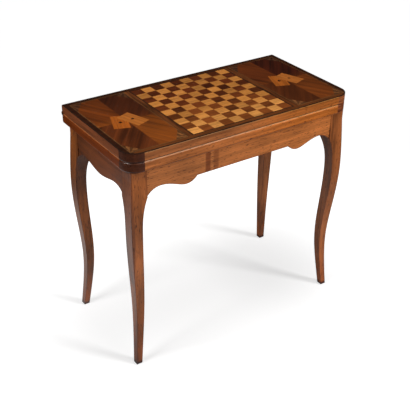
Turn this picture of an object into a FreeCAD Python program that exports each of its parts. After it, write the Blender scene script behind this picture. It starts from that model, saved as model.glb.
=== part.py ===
"""Folding game table: fold-over draughts-board top on a cabriole frame with one gate leg."""
import FreeCAD
import Part
import Sketcher
import math
import os

Vector = FreeCAD.Vector

# Driving dimensions, in millimetres and degrees; a drop is measured down from the frame's top
SIZES = {
    # Whole table
    "table_height": 750,
    "top_width": 810,
    "top_depth": 403,
    "leaf_thickness": 29.8,
    "leaf_gap": 0.4,
    "overhang": 14,
    # Leaf construction
    "lipping": 12,
    "back_lipping": 20,
    "corner_block": 52,
    "corner_radius": 47,
    "arris": 4.2,
    "veneer": 1.2,
    "baize_border": 58,
    "baize_thickness": 1.5,
    "baize_sunk": 0.3,
    # Marquetry of the closed top
    "banding": 17,
    "edge_line": 4,
    "board_line": 4.5,
    "divider": 17,
    "stringing": 1.5,
    "card_width": 49,
    "card_length": 85,
    "card_spread": 21,
    "card_tilt": 20,
    "pip": 11,
    "fan_across": 37,
    "fan_along": 53,
    # Cabriole legs
    "post": 50,
    "knee_start": 32,
    "bracket_drop": 90.5,
    "thigh_drop": 140,
    "thigh_out": 5.9,
    "thigh_width": 40.5,
    "knee_drop": 209,
    "knee_out": 7.5,
    "knee_width": 36.8,
    "shin_out": 0.3,
    "shin_width": 33.4,
    "ankle_height": 205,
    "ankle_out": -8.2,
    "ankle_width": 27.5,
    "heel_height": 90,
    "heel_out": -3.4,
    "heel_width": 22.6,
    "foot_out": 4,
    "foot_width": 19.5,
    "foot_chamfer": 2.5,
    # Rails
    "rail_thickness": 22,
    "rail_depth": 71,
    "arch_lift": 4,
    "lobe_drop": 17,
    "arch_reach": 48,
    "fall_reach": 93,
    "lobe_reach": 124,
    "step_reach": 171,
    "side_arch_drop": 2.5,
    "side_lobe_drop": 17.5,
    "side_arch_reach": 38.5,
    "tenon_thickness": 8,
    "tenon_length": 28,
    "tenon_height": 50,
    "tenon_shoulder": 12,
    "glue_room": 1,
    "housing": 8,
    # Gate
    "gate_gap": 1,
    "gate_thickness": 21,
    "gate_drop": 0.5,
    "knuckle_gap": 0.6,
    "finger_gap": 0.25,
    "gate_pin_radius": 4,
    "gate_pin_head": 7,
    "gate_pin_head_height": 3,
    "pin_clearance": 0.05,
    # Leaf hinges
    "hinge_width": 70,
    "hinge_inset": 1,
    "hinge_offset": 4.25,
    "plate_reach": 26,
    "plate_thickness": 5,
    "plate_recess": 1,
    "barrel_radius": 6.25,
    "barrel_gap": 0.2,
    "barrel_room": 0.5,
    "hinge_pin_radius": 2,
    "hinge_screw_pitch": 24,
    "hinge_screw_height": 16,
    "hinge_screw_length": 16,
    "hinge_screw_radius": 1.6,
    "hinge_screw_head": 3.2,
    # Blocks and screws under the top
    "block_length": 42,
    "block_side": 26,
    "block_place": 190,
    "top_screw_length": 38,
    "rail_screw_length": 36,
    "rail_screw_margin": 60,
    "wood_screw_radius": 2.2,
    "wood_screw_head": 4.4,
}

BOARD_SQUARES = 10
FAN_RAYS = 5
GATE_FINGERS = 5
HINGE_BARRELS = 5
RAIL_SCREWS = 3

doc = FreeCAD.newDocument("folding_game_table")
sheet = doc.addObject("Spreadsheet::Sheet", "sizes")
for row, (alias, number) in enumerate(SIZES.items(), 1):
    sheet.set("A%d" % row, alias)
    sheet.set("B%d" % row, str(number))
    sheet.setAlias("B%d" % row, alias)
doc.recompute()


class Size:
    """A measure with its present value and the sheet formula that gives it."""

    def __init__(self, value, formula):
        self.value = value
        self.formula = formula

    def joined(self, sign, other, value):
        return Size(value, "(%s %s %s)" % (self.formula, sign, other.formula))

    def __add__(self, other):
        other = as_size(other)
        return self.joined("+", other, self.value + other.value)

    def __sub__(self, other):
        other = as_size(other)
        return self.joined("-", other, self.value - other.value)

    def __mul__(self, other):
        other = as_size(other)
        return self.joined("*", other, self.value * other.value)

    def __truediv__(self, other):
        other = as_size(other)
        return self.joined("/", other, self.value / other.value)

    def __radd__(self, other):
        return as_size(other) + self

    def __rsub__(self, other):
        return as_size(other) - self

    def __rmul__(self, other):
        return as_size(other) * self

    def __neg__(self):
        return as_size(0) - self


def as_size(number):
    """Give a plain number the form of a size."""
    if isinstance(number, Size):
        return number
    return Size(float(number), "(%.6f)" % number)


def size(alias):
    """The sheet's cell of that name."""
    return Size(float(sheet.get(alias)), "sizes." + alias)


def cosine(angle):
    return Size(math.cos(math.radians(angle.value)), "cos(%s)" % angle.formula)


def sine(angle):
    return Size(math.sin(math.radians(angle.value)), "sin(%s)" % angle.formula)


def bind(item, prop, measure):
    """Tie one property to the sheet."""
    item.setExpression(prop, as_size(measure).formula)


def put(item, place):
    """Tie an object's position to the sheet."""
    for axis, measure in zip("xyz", place):
        bind(item, "Placement.Base." + axis, measure)


def box(name, low, high):
    """Block between two opposite corners."""
    item = doc.addObject("Part::Box", name)
    for prop, start, end in zip(("Length", "Width", "Height"), low, high):
        bind(item, prop, as_size(end) - start)
    put(item, low)
    return item


def rod(name, start, axis, radius, length):
    """Round bar from a start point along an axis."""
    item = doc.addObject("Part::Cylinder", name)
    item.Placement = FreeCAD.Placement(Vector(), FreeCAD.Rotation(Vector(0, 0, 1), axis))
    bind(item, "Radius", radius)
    bind(item, "Height", length)
    put(item, start)
    return item


def cone(name, start, axis, wide, narrow, length):
    """Tapered round from its wide end along an axis."""
    item = doc.addObject("Part::Cone", name)
    item.Placement = FreeCAD.Placement(Vector(), FreeCAD.Rotation(Vector(0, 0, 1), axis))
    bind(item, "Radius1", wide)
    bind(item, "Radius2", narrow)
    bind(item, "Height", length)
    put(item, start)
    return item


def fuse(name, *items):
    item = doc.addObject("Part::MultiFuse", name)
    item.Shapes = list(items)
    return item


def cut(name, base, *tools):
    item = doc.addObject("Part::Cut", name)
    item.Base = base
    item.Tool = tools[0] if len(tools) == 1 else fuse(name + "_tools", *tools)
    return item


def common(name, *items):
    item = doc.addObject("Part::MultiCommon", name)
    item.Shapes = list(items)
    return item


def group(name, items):
    """Separate solids kept as one node."""
    item = doc.addObject("Part::Compound", name)
    item.Links = list(items)
    return item


def mirrored(name, source, normal, middle=0):
    """Mirror image across a plane square to one axis."""
    item = doc.addObject("Part::Mirroring", name)
    item.Source = source
    item.Normal = normal
    bind(item, "Base.y" if normal.y else "Base.x", middle)
    return item


RIGHT = Vector(1, 0, 0)
BACK = Vector(0, 1, 0)
UP = Vector(0, 0, 1)
FRONT_PLANE = FreeCAD.Placement(Vector(), FreeCAD.Rotation(RIGHT, 90))
SIDE_PLANE = FreeCAD.Placement(Vector(), FreeCAD.Rotation(BACK, UP, RIGHT, "ZXY"))
TOP_PLANE = FreeCAD.Placement()


def pin_point(sketch, geometry, end, place):
    """Hold one sketch point at two sheet measures."""
    for kind, measure in zip(("DistanceX", "DistanceY"), place):
        measure = as_size(measure)
        index = sketch.addConstraint(Sketcher.Constraint(kind, -1, 1, geometry, end, measure.value))
        sketch.setExpression("Constraints[%d]" % index, measure.formula)


def draw(name, plane, start, steps):
    """Closed outline; a point is a straight step, a list of points is a fair curve through them."""
    sketch = doc.addObject("Sketcher::SketchObject", name)
    sketch.Placement = plane
    here = start
    edges = []
    for step in steps:
        through = step if isinstance(step, list) else [step]
        points = [Vector(as_size(u).value, as_size(v).value, 0) for u, v in [here] + through]
        if len(through) == 1:
            edge = sketch.addGeometry(Part.LineSegment(*points))
        else:
            curve = Part.BSplineCurve()
            curve.interpolate(points)
            edge = sketch.addGeometry(curve)
            sketch.exposeInternalGeometry(edge)
            added = range(edge + 1, sketch.GeometryCount)
            knots = [i for i in added if sketch.Geometry[i].TypeId == "Part::GeomPoint"]
            for knot, place in zip(knots[1:-1], through[:-1]):
                pin_point(sketch, knot, 1, place)
        pin_point(sketch, edge, 2, through[-1])
        if edges:
            sketch.addConstraint(Sketcher.Constraint("Coincident", edges[-1], 2, edge, 1))
        edges.append(edge)
        here = through[-1]
    sketch.addConstraint(Sketcher.Constraint("Coincident", edges[-1], 2, edges[0], 1))
    return sketch


def sawn(name, sketch, direction, start, length):
    """Outline carried along one axis, from a start to a length."""
    axis = "x" if direction.x else "y" if direction.y else "z"
    bind(sketch, "Placement.Base." + axis, start)
    item = doc.addObject("Part::Extrusion", name)
    item.Base = sketch
    item.DirMode = "Custom"
    item.Dir = direction
    item.Solid = True
    bind(item, "LengthFwd", length)
    return item


def rounded(name, base, radius, chosen):
    """Round the edges that the test accepts."""
    doc.recompute()
    item = doc.addObject("Part::Fillet", name)
    item.Base = base
    edges = [i for i, edge in enumerate(base.Shape.Edges, 1) if chosen(edge)]
    item.Edges = [(i, radius.value, radius.value) for i in edges]
    base.Visibility = False
    return item


# Levels and lines that the pieces share
half_width = size("top_width") / 2
proud = size("hinge_offset") + size("barrel_radius")
back = (size("top_depth") - proud) / 2
front = back - size("top_depth")
middle = (front + back) / 2
frame_top = size("table_height") - 2 * size("leaf_thickness") - size("leaf_gap")
lower_top = frame_top + size("leaf_thickness")
axis_height = lower_top + size("leaf_gap") / 2
upper_bottom = lower_top + size("leaf_gap")
core_top = size("table_height") - size("veneer")
frame_side = half_width - size("overhang")
frame_front = front + size("overhang")
frame_back = back - size("overhang")
rail_end = frame_side - size("post")
front_joint = frame_front + size("post")
back_joint = frame_back - size("post")
rail_bottom = frame_top - size("rail_depth")
nodes = {}


def keep(item, name):
    """Name a finished sub-part."""
    item.Label = name
    nodes[name] = item
    return item


# Screws: countersunk head, plain shank, and the hole that takes them

def screw(name, head, axis, radius, head_radius, length):
    taper = head_radius - radius
    return fuse(name, rod(name + "_shank", head, axis, radius, length),
                cone(name + "_head", head, axis, head_radius, radius, taper))


def screw_hole(name, head, axis, radius, head_radius, length):
    room = size("pin_clearance")
    return screw(name, head, axis, radius + room, head_radius + room, length + size("glue_room"))


# Legs: one S template sawn from the front and again from the side

knee = frame_top - size("knee_drop")
leg_levels = {"thigh": frame_top - size("thigh_drop"), "knee": knee,
              "shin": (knee + size("ankle_height")) / 2,
              "ankle": size("ankle_height"), "heel": size("heel_height")}


def leg_template(name, plane, face):
    """Outline of one leg seen square on, through a width at each level from thigh to heel."""
    points = []
    for station, level in leg_levels.items():
        outer = face - size(station + "_out")
        points.append((outer, outer + size(station + "_width"), level))
    toe = face - size("foot_out")
    heel = toe + size("foot_width")
    chamfer = size("foot_chamfer")
    outside = [(outer, level) for outer, inner, level in points] + [(toe, chamfer)]
    inside = [(inner, level) for outer, inner, level in reversed(points)]
    inside.append((face + size("post"), frame_top - size("bracket_drop")))
    return draw(name, plane, (face, frame_top), [
        (face, frame_top - size("knee_start")), outside, (toe + chamfer, 0), (heel - chamfer, 0),
        (heel, chamfer), inside, (face + size("post"), frame_top), (face, frame_top)])


reach = size("post") + size("overhang")
leg_front = sawn("leg_front_cut", leg_template("leg_front_template", FRONT_PLANE, -frame_side), BACK,
                 frame_front - size("overhang"), reach)
leg_side = sawn("leg_side_cut", leg_template("leg_side_template", SIDE_PLANE, frame_front), RIGHT,
                -frame_side - size("overhang"), reach)
leg_blank = common("leg_blank", leg_front, leg_side)
right_blank = mirrored("right_leg_blank", leg_blank, RIGHT)
frame_middle = (frame_front + frame_back) / 2
rear_left_blank = mirrored("rear_left_blank", leg_blank, BACK, frame_middle)
rear_right_blank = mirrored("rear_right_blank", right_blank, BACK, frame_middle)

tenon_top = frame_top - size("tenon_shoulder")
tenon_bottom = tenon_top - size("tenon_height")
tenon_inset = (size("rail_thickness") - size("tenon_thickness")) / 2
front_cheek = frame_front + tenon_inset
side_cheek = frame_side - tenon_inset - size("tenon_thickness")
knuckle_front = back_joint - size("gate_gap")
knuckle_middle = knuckle_front + size("rail_thickness") / 2
gate_cheek = knuckle_middle - size("tenon_thickness") / 2


def tenon_across(name, side, cheek, room=0):
    """Tenon that runs along the table's width into the leg on one side."""
    deep = rail_end + size("tenon_length") + room
    ends = (-deep, -rail_end) if side < 0 else (rail_end, deep)
    return box(name, (ends[0], cheek, tenon_bottom), (ends[1], cheek + size("tenon_thickness"), tenon_top))


def tenon_along(name, side, joint, direction, room=0):
    """Tenon that runs front to back into a leg."""
    deep = joint + direction * (size("tenon_length") + room)
    ends = (joint, deep) if direction > 0 else (deep, joint)
    cheek = side_cheek if side > 0 else -side_cheek - size("tenon_thickness")
    return box(name, (cheek, ends[0], tenon_bottom), (cheek + size("tenon_thickness"), ends[1], tenon_top))


def mortised_leg(name, blank, mortises):
    keep(cut(name, blank, *mortises), name)


room = size("glue_room")
mortised_leg("front_left_leg", leg_blank, [
    tenon_across("front_left_mortise", -1, front_cheek, room),
    tenon_along("left_front_mortise", -1, front_joint, -1, room)])
mortised_leg("front_right_leg", right_blank, [
    tenon_across("front_right_mortise", 1, front_cheek, room),
    tenon_along("right_front_mortise", 1, front_joint, -1, room)])
mortised_leg("rear_right_leg", rear_right_blank, [
    tenon_across("rear_right_mortise", 1, gate_cheek, room),
    tenon_along("right_back_mortise", 1, back_joint, 1, room)])
gate_top = frame_top - size("gate_drop")
mortised_leg("gate_leg", rear_left_blank, [
    tenon_across("gate_mortise", -1, gate_cheek, room),
    box("gate_leg_relief", (-half_width, back_joint, gate_top), (-rail_end, back, frame_top + room))])


# Front rail: arches spring from the legs to a lobe, then step up to the straight edge

def level_below(drop):
    return rail_bottom - drop


arch = level_below(-size("arch_lift"))
lobe = level_below(size("lobe_drop"))
spring = frame_top - size("bracket_drop")
left_edge = [(-rail_end + size("arch_reach"), arch), (-rail_end + size("fall_reach"), (arch + lobe) / 2),
             (-rail_end + size("lobe_reach"), lobe), (-rail_end + size("step_reach"), rail_bottom)]
right_edge = [(-along, level) for along, level in reversed(left_edge)][1:] + [(rail_end, spring)]
front_outline = draw("front_rail_outline", FRONT_PLANE, (-rail_end, spring), [
    left_edge, (rail_end - size("step_reach"), rail_bottom), right_edge,
    (rail_end, frame_top), (-rail_end, frame_top), (-rail_end, spring)])
front_board = sawn("front_rail_board", front_outline, BACK, frame_front, size("rail_thickness"))
keep(fuse("front_rail", front_board, tenon_across("front_left_tenon", -1, front_cheek),
          tenon_across("front_right_tenon", 1, front_cheek)), "front_rail")


# Side rails: an arch at each leg and one lobe between

side_inner = frame_side - size("rail_thickness")
housing_face = side_inner + size("housing")
back_rail_front = knuckle_front - size("rail_thickness")


def side_rail(name, side, end):
    centre = (front_joint + back_joint) / 2
    arch_level = level_below(size("side_arch_drop"))
    lobe_level = level_below(size("side_lobe_drop"))
    fall_level = (arch_level + lobe_level) / 2
    near_arch = front_joint + size("side_arch_reach")
    near_fall = (near_arch + centre) / 2
    far_arch = back_joint - size("side_arch_reach")
    far_fall = (far_arch + centre) / 2
    lower_edge = [(near_arch, arch_level), (near_fall, fall_level), (centre, lobe_level),
                  (far_fall, fall_level), (far_arch, arch_level), (end, spring)]
    outline = draw(name + "_outline", SIDE_PLANE, (front_joint, spring), [
        lower_edge, (end, frame_top), (front_joint, frame_top), (front_joint, spring)])
    start = -frame_side if side < 0 else side_inner
    board = sawn(name + "_board", outline, RIGHT, start, size("rail_thickness"))
    tenons = [tenon_along(name + "_front_tenon", side, front_joint, -1)]
    if side > 0:
        tenons.append(tenon_along(name + "_back_tenon", side, back_joint, 1))
    groove = (-housing_face, -side_inner) if side < 0 else (side_inner, housing_face)
    keep(cut(name, fuse(name + "_blank", board, *tenons),
             box(name + "_housing", (groove[0], back_rail_front, rail_bottom),
                 (groove[1], knuckle_front, frame_top + room))), name)


side_rail("left_rail", -1, knuckle_front)
side_rail("right_rail", 1, back_joint)


# Back: fixed inner rail, fixed knuckle rail behind it, and the fly rail that swings on their pin

def wood_screws(name, heads, axis, length, maker):
    return [maker("%s_%d" % (name, i), head, axis, size("wood_screw_radius"), size("wood_screw_head"), length)
            for i, head in enumerate(heads, 1)]


finger = size("rail_depth") / GATE_FINGERS
shoulder = size("gate_thickness") / 2 + 2 * size("knuckle_gap")
first_screw = shoulder + size("rail_screw_margin")
screw_pitch = (side_inner - size("rail_screw_margin") - first_screw) / (RAIL_SCREWS - 1)
rail_heads = [(first_screw + screw_pitch * number, back_rail_front, (rail_bottom + frame_top) / 2)
              for number in range(RAIL_SCREWS)]
rail_holes = wood_screws("rail_screw_hole", rail_heads, BACK, size("rail_screw_length"), screw_hole)
keep(cut("back_rail", box("back_rail_board", (-housing_face, back_rail_front, rail_bottom),
                          (housing_face, knuckle_front, frame_top)), *rail_holes), "back_rail")
rail_screws = wood_screws("rail_screw", rail_heads, BACK, size("rail_screw_length"), screw)
keep(group("rail_screws", rail_screws), "rail_screws")


def gate_fingers(name, side, thickness, numbers, gap):
    """Round-ended fingers that reach from a rail's shoulder to the pin."""
    fingers = []
    for number in numbers:
        low = rail_bottom + finger * number + gap
        high = rail_bottom + finger * (number + 1) - gap
        ends = (-shoulder, as_size(0)) if side < 0 else (as_size(0), shoulder)
        fingers.append(box("%s_neck_%d" % (name, number), (ends[0], knuckle_middle - thickness / 2, low),
                           (ends[1], knuckle_middle + thickness / 2, high)))
        fingers.append(rod("%s_round_%d" % (name, number), (0, knuckle_middle, low), UP,
                           thickness / 2, high - low))
    return fingers


pin_hole_low = rail_bottom - room
pin_hole = rod("gate_pin_hole", (0, knuckle_middle, pin_hole_low), UP,
               size("gate_pin_radius") + size("pin_clearance"), size("rail_depth") + 2 * room)
knuckle_board = box("knuckle_rail_board", (shoulder, knuckle_front, rail_bottom),
                    (rail_end, knuckle_front + size("rail_thickness"), frame_top))
knuckle_blank = fuse("knuckle_rail_blank", knuckle_board, tenon_across("knuckle_tenon", 1, gate_cheek),
                     *gate_fingers("knuckle", 1, size("rail_thickness"), (0, 2, 4), as_size(0)))
keep(cut("knuckle_rail", knuckle_blank, pin_hole, *rail_holes), "knuckle_rail")

fly_half = size("gate_thickness") / 2
fly_board = box("fly_rail_board", (-rail_end, knuckle_middle - fly_half, rail_bottom),
                (-shoulder, knuckle_middle + fly_half, gate_top))
fly_blank = fuse("fly_rail_blank", fly_board, tenon_across("fly_tenon", -1, gate_cheek),
                 *gate_fingers("fly", -1, size("gate_thickness"), (1, 3), size("finger_gap")))
keep(cut("fly_rail", fly_blank, pin_hole), "fly_rail")
pin_head = size("gate_pin_head_height")
keep(fuse("gate_pin", rod("gate_pin_shank", (0, knuckle_middle, rail_bottom - pin_head), UP,
                          size("gate_pin_radius"), size("rail_depth") + pin_head - room),
          rod("gate_pin_disc", (0, knuckle_middle, rail_bottom - pin_head), UP,
              size("gate_pin_head"), pin_head)), "gate_pin")


# Blocks inside the rails carry the screws that hold the lower leaf

block = size("block_side")
block_half = size("block_length") / 2
front_inner = frame_front + size("rail_thickness")
block_low = frame_top - block
block_plan = []
for place in (-size("block_place"), size("block_place")):
    block_plan.append((place - block_half, front_inner, place + block_half, front_inner + block))
    block_plan.append((place - block_half, back_rail_front - block, place + block_half, back_rail_front))
block_plan.append((-side_inner, middle - block_half, -side_inner + block, middle + block_half))
block_plan.append((side_inner - block, middle - block_half, side_inner, middle + block_half))
top_heads = [((x0 + x1) / 2, (y0 + y1) / 2, block_low) for x0, y0, x1, y1 in block_plan]
top_holes = wood_screws("top_screw_hole", top_heads, UP, size("top_screw_length"), screw_hole)
keep(group("top_blocks", [
    cut("top_block_%d" % i, box("top_block_%d_wood" % i, (x0, y0, block_low), (x1, y1, frame_top)), hole)
    for i, ((x0, y0, x1, y1), hole) in enumerate(zip(block_plan, top_holes), 1)]), "top_blocks")
top_screws = wood_screws("top_screw", top_heads, UP, size("top_screw_length"), screw)
keep(group("top_screws", top_screws), "top_screws")


# Leaf outline: square at the back, rounded at the two front corners

def corner_cutter(name, side, low, high, inset=0):
    """What a front corner loses to its rounding, or to one set in from the edge."""
    radius = size("corner_radius")
    outer = half_width + size("overhang")
    ends = (-outer, -half_width + radius) if side < 0 else (half_width - radius, outer)
    waste = box(name + "_block", (ends[0], front - size("overhang"), low), (ends[1], front + radius, high))
    round_place = (-half_width + radius if side < 0 else half_width - radius, front + radius, low)
    return cut(name, waste, rod(name + "_round", round_place, UP, radius - inset, high - low))


def on_outline(point):
    """True on the front, the ends and the rounded corners of a leaf."""
    radius = size("corner_radius").value
    across = abs(point.x) - (half_width.value - radius)
    along = (front.value + radius) - point.y
    if across > 0 and along > 0:
        return abs(math.hypot(across, along) - radius) < 0.01
    return abs(across - radius) < 0.01 or abs(along - radius) < 0.01


def arris_at(levels):
    """Test for the outer edges of a leaf's strips at the given heights."""
    def chosen(edge):
        ends = edge.ParameterRange
        spots = [edge.valueAt(ends[0] + (ends[1] - ends[0]) * share) for share in (0, 0.37, 1)]
        return all(on_outline(spot) for spot in spots) and any(
            all(abs(spot.z - level.value) < 0.01 for spot in spots) for level in levels)
    return chosen


def leaf_strips(name, low, high, edges, hinge_tools):
    """Solid strips and corner blocks round a leaf, with their arrises rounded."""
    strip = size("lipping")
    corner = size("corner_block")
    rear = back - size("back_lipping")
    corner_inner = half_width - corner
    strips = {"front_lipping": box(name + "_front_strip", (-corner_inner, front, low),
                                   (corner_inner, front + strip, high))}
    for word, side in (("left", -1), ("right", 1)):
        ends = (-half_width, -half_width + strip) if side < 0 else (half_width - strip, half_width)
        strips[word + "_lipping"] = box("%s_%s_strip" % (name, word), (ends[0], front + corner, low),
                                        (ends[1], rear, high))
        ends = (-half_width, -corner_inner) if side < 0 else (corner_inner, half_width)
        square = box("%s_%s_square" % (name, word), (ends[0], front, low), (ends[1], front + corner, high))
        strips[word + "_corner"] = cut("%s_%s_turned" % (name, word), square,
                                       corner_cutter("%s_%s_round" % (name, word), side, low, high))
    strips["back_lipping"] = box(name + "_back_strip", (-half_width, rear, low), (half_width, back, high))
    for word, blank in strips.items():
        label = "%s_%s" % (name, word)
        if word == "back_lipping":
            soft = rounded(label + "_soft", blank, size("arris"), arris_at(edges))
            keep(cut(label, soft, *hinge_tools), label)
        else:
            keep(rounded(label, blank, size("arris"), arris_at(edges)), label)


def leaf_core(name, low, high, tools):
    """Board inside the strips, notched for the corner blocks."""
    strip = size("lipping")
    inner = half_width - size("corner_block")
    notch_back = front + size("corner_block")
    board = box(name + "_core_board", (-half_width + strip, front + strip, low),
                (half_width - strip, back - size("back_lipping"), high))
    notches = [box(name + "_left_notch", (-half_width, front, low), (-inner, notch_back, high)),
               box(name + "_right_notch", (inner, front, low), (half_width, notch_back, high))]
    keep(cut(name + "_core", board, *notches, *tools), name + "_core")


# Baize let into the two faces that meet when the top is folded

baize_side = half_width - size("baize_border")
baize_front = front + size("baize_border")
baize_back = back - size("baize_border")
baize_depth = size("baize_thickness") + size("baize_sunk")


def baize(name, floor, ceiling, low, high):
    recess = box(name + "_recess", (-baize_side, baize_front, floor), (baize_side, baize_back, ceiling))
    keep(box(name, (-baize_side, baize_front, low), (baize_side, baize_back, high)), name)
    return recess


lower_floor = lower_top - baize_depth
lower_recess = baize("lower_baize", lower_floor, lower_top + room, lower_floor,
                     lower_floor + size("baize_thickness"))
upper_ceiling = upper_bottom + baize_depth
upper_recess = baize("upper_baize", upper_bottom - room, upper_ceiling,
                     upper_ceiling - size("baize_thickness"), upper_ceiling)


# Hinges: iron plates across the back edge, interleaved barrels and a pin on the line between the leaves

axis_line = back + size("hinge_offset")
plate_inner = back - size("plate_recess")
plate_outer = plate_inner + size("plate_thickness")
barrel = size("hinge_width") / HINGE_BARRELS


def hinge_start(side):
    if side < 0:
        return -half_width + size("hinge_inset")
    return half_width - size("hinge_inset") - size("hinge_width")


def hinge_screw_heads(side, up):
    centre = hinge_start(side) + size("hinge_width") / 2
    level = axis_height + up * size("hinge_screw_height")
    return [(centre + size("hinge_screw_pitch") * place, plate_outer, level) for place in (-1, 0, 1)]


def hinge_screws(name, side, up, maker):
    return [maker("%s_%d" % (name, i), head, -BACK, size("hinge_screw_radius"), size("hinge_screw_head"),
                  size("hinge_screw_length")) for i, head in enumerate(hinge_screw_heads(side, up), 1)]


def hinge_plate(name, side, up, barrels):
    """One plate with its own barrels, cleared for those of its partner."""
    start = hinge_start(side)
    end = start + size("hinge_width")
    tip = axis_height + up * size("plate_reach")
    levels = (axis_height, tip) if up > 0 else (tip, axis_height)
    plate = box(name + "_plate", (start, plate_inner, levels[0]), (end, plate_outer, levels[1]))
    clear = rod(name + "_clear", (start, axis_line, axis_height), RIGHT,
                size("barrel_radius") + size("barrel_room"), size("hinge_width"))
    pieces = [cut(name + "_flat", plate, clear)]
    web_tip = axis_height + up * 2 * size("barrel_radius")
    web = (axis_height, web_tip) if up > 0 else (web_tip, axis_height)
    for number in barrels:
        low = start + barrel * number + size("barrel_gap")
        high = start + barrel * (number + 1) - size("barrel_gap")
        pieces.append(box("%s_web_%d" % (name, number), (low, plate_inner, web[0]),
                          (high, plate_outer, web[1])))
        pieces.append(rod("%s_barrel_%d" % (name, number), (low, axis_line, axis_height), RIGHT,
                          size("barrel_radius"), high - low))
    bore = rod(name + "_bore", (start - room, axis_line, axis_height), RIGHT,
               size("hinge_pin_radius") + size("pin_clearance"), size("hinge_width") + 2 * room)
    holes = hinge_screws(name + "_hole", side, up, screw_hole)
    keep(cut(name, fuse(name + "_blank", *pieces), bore, *holes), name)


def hinge_gain(name, side, up):
    """Recess in the back edge for a plate and its barrels, with the screw holes."""
    start = hinge_start(side)
    end = start + size("hinge_width")
    tip = axis_height + up * size("plate_reach")
    levels = (axis_height - room, tip) if up > 0 else (tip, axis_height + room)
    clear = size("barrel_room")
    return [box(name + "_plate", (start, plate_inner, levels[0]), (end, back + room, levels[1])),
            rod(name + "_barrel", (start - clear, axis_line, axis_height), RIGHT,
                size("barrel_radius") + 2 * clear, size("hinge_width") + 2 * clear),
            *hinge_screws(name + "_pilot", side, up, screw_hole)]


hinge_tools = {"lower": [], "upper": []}
hinge_fasteners = {"lower": [], "upper": []}
for word, side in (("left", -1), ("right", 1)):
    for leaf, up, barrels in (("lower", -1, (0, 2, 4)), ("upper", 1, (1, 3))):
        hinge_plate("%s_hinge_%s" % (word, leaf), side, up, barrels)
        hinge_tools[leaf] += hinge_gain("%s_%s_gain" % (leaf, word), side, up)
        hinge_fasteners[leaf] += hinge_screws("%s_%s_screw" % (leaf, word), side, up, screw)
for leaf, screws in hinge_fasteners.items():
    keep(group(leaf + "_hinge_screws", screws), leaf + "_hinge_screws")
keep(group("hinge_pins", [rod(word + "_hinge_pin", (hinge_start(side), axis_line, axis_height), RIGHT,
                              size("hinge_pin_radius"), size("hinge_width"))
                          for word, side in (("left", -1), ("right", 1))]), "hinge_pins")


# The two leaves

leaf_strips("lower", frame_top, lower_top, (frame_top, lower_top), hinge_tools["lower"])
leaf_core("lower", frame_top, lower_top, [lower_recess] + top_holes)
leaf_strips("upper", upper_bottom, core_top, (upper_bottom,), hinge_tools["upper"])
leaf_core("upper", upper_bottom, core_top, [upper_recess])


# Marquetry on the closed top, every piece flush with its neighbours

top = size("table_height")


def inlay(name, low, high):
    return box(name, (low[0], low[1], core_top), (high[0], high[1], top))


def inlay_shape(name, points):
    sketch = draw(name + "_outline", TOP_PLANE, points[0], points[1:] + points[:1])
    return sawn(name, sketch, UP, core_top, size("veneer"))


def inlay_disc(name, place, radius):
    return rod(name, (place[0], place[1], core_top), UP, radius, size("veneer"))


field_side = half_width - size("banding")
field_front = front + size("banding")
field_back = back - size("banding")
edge_line = size("edge_line")


def corners_inside(reach):
    return [(-half_width + reach, front + reach), (half_width - reach, front + reach),
            (half_width - reach, back - reach), (-half_width + reach, back - reach)]


def rounded_plate(name, reach):
    """Veneer of the whole top, set in from its edge and rounded with its front corners."""
    corners = corners_inside(reach)
    return cut(name, inlay(name + "_blank", corners[0], corners[2]),
               corner_cutter(name + "_left_round", -1, core_top, top, reach),
               corner_cutter(name + "_right_round", 1, core_top, top, reach))


top_field = rounded_plate("top_field", edge_line)
keep(cut("edge_line", rounded_plate("top_plate", as_size(0)), top_field), "edge_line")
outer_corners = corners_inside(edge_line)
inner_corners = corners_inside(size("banding"))
bandings = []
for i, word in enumerate(("front", "right", "back", "left")):
    j = (i + 1) % len(outer_corners)
    mitred = inlay_shape(word + "_banding", [outer_corners[i], outer_corners[j], inner_corners[j],
                                             inner_corners[i]])
    bandings.append(mitred if word == "back" else common(word + "_banding_trim", mitred, top_field))
keep(group("outer_banding", bandings), "outer_banding")

square = (field_back - field_front - 2 * size("board_line")) / BOARD_SQUARES
board_half = square * BOARD_SQUARES / 2
frame_half = board_half + size("board_line")
board_blank = inlay("board_frame_blank", (-frame_half, field_front), (frame_half, field_back))
board_field = inlay("board_field", (-board_half, middle - board_half), (board_half, middle + board_half))
keep(cut("board_frame", board_blank, board_field), "board_frame")
squares = {"light": [], "dark": []}
for row in range(BOARD_SQUARES):
    for column in range(BOARD_SQUARES):
        low = (square * column - board_half, middle - board_half + square * row)
        high = (low[0] + square, low[1] + square)
        tone = "light" if (row + column) % 2 == 0 else "dark"
        squares[tone].append(inlay("%s_square_%d_%d" % (tone, row, column), low, high))
for tone, pieces in squares.items():
    keep(group("board_%s_squares" % tone, pieces), "board_%s_squares" % tone)
divider_edge = frame_half + size("divider")
keep(group("divider_bands", [
    inlay("left_divider", (-divider_edge, field_front), (-frame_half, field_back)),
    inlay("right_divider", (frame_half, field_front), (divider_edge, field_back))]), "divider_bands")


# Aces: two splayed cards in each panel, one suit to a card; their parts are shares of the pip

HEART_CORNER_SHARE = 0.42
STEM_FOOT_SHARE = 0.2
STEM_WAIST_SHARE = 0.05
STEM_LENGTH_SHARE = 0.62
DIAMOND_WIDTH_SHARE = 0.42
DIAMOND_HEIGHT_SHARE = 0.6
CLUB_LEAF_SHARE = 0.27
CLUB_RISE_SHARE = 0.32
CLUB_SPREAD_SHARE = 0.28
CLUB_FALL_SHARE = 0.11

def turned(place, across, along, angle):
    """Point given across and along a card, turned with it."""
    return (place[0] + across * cosine(angle) - along * sine(angle),
            place[1] + across * sine(angle) + along * cosine(angle))


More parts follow.
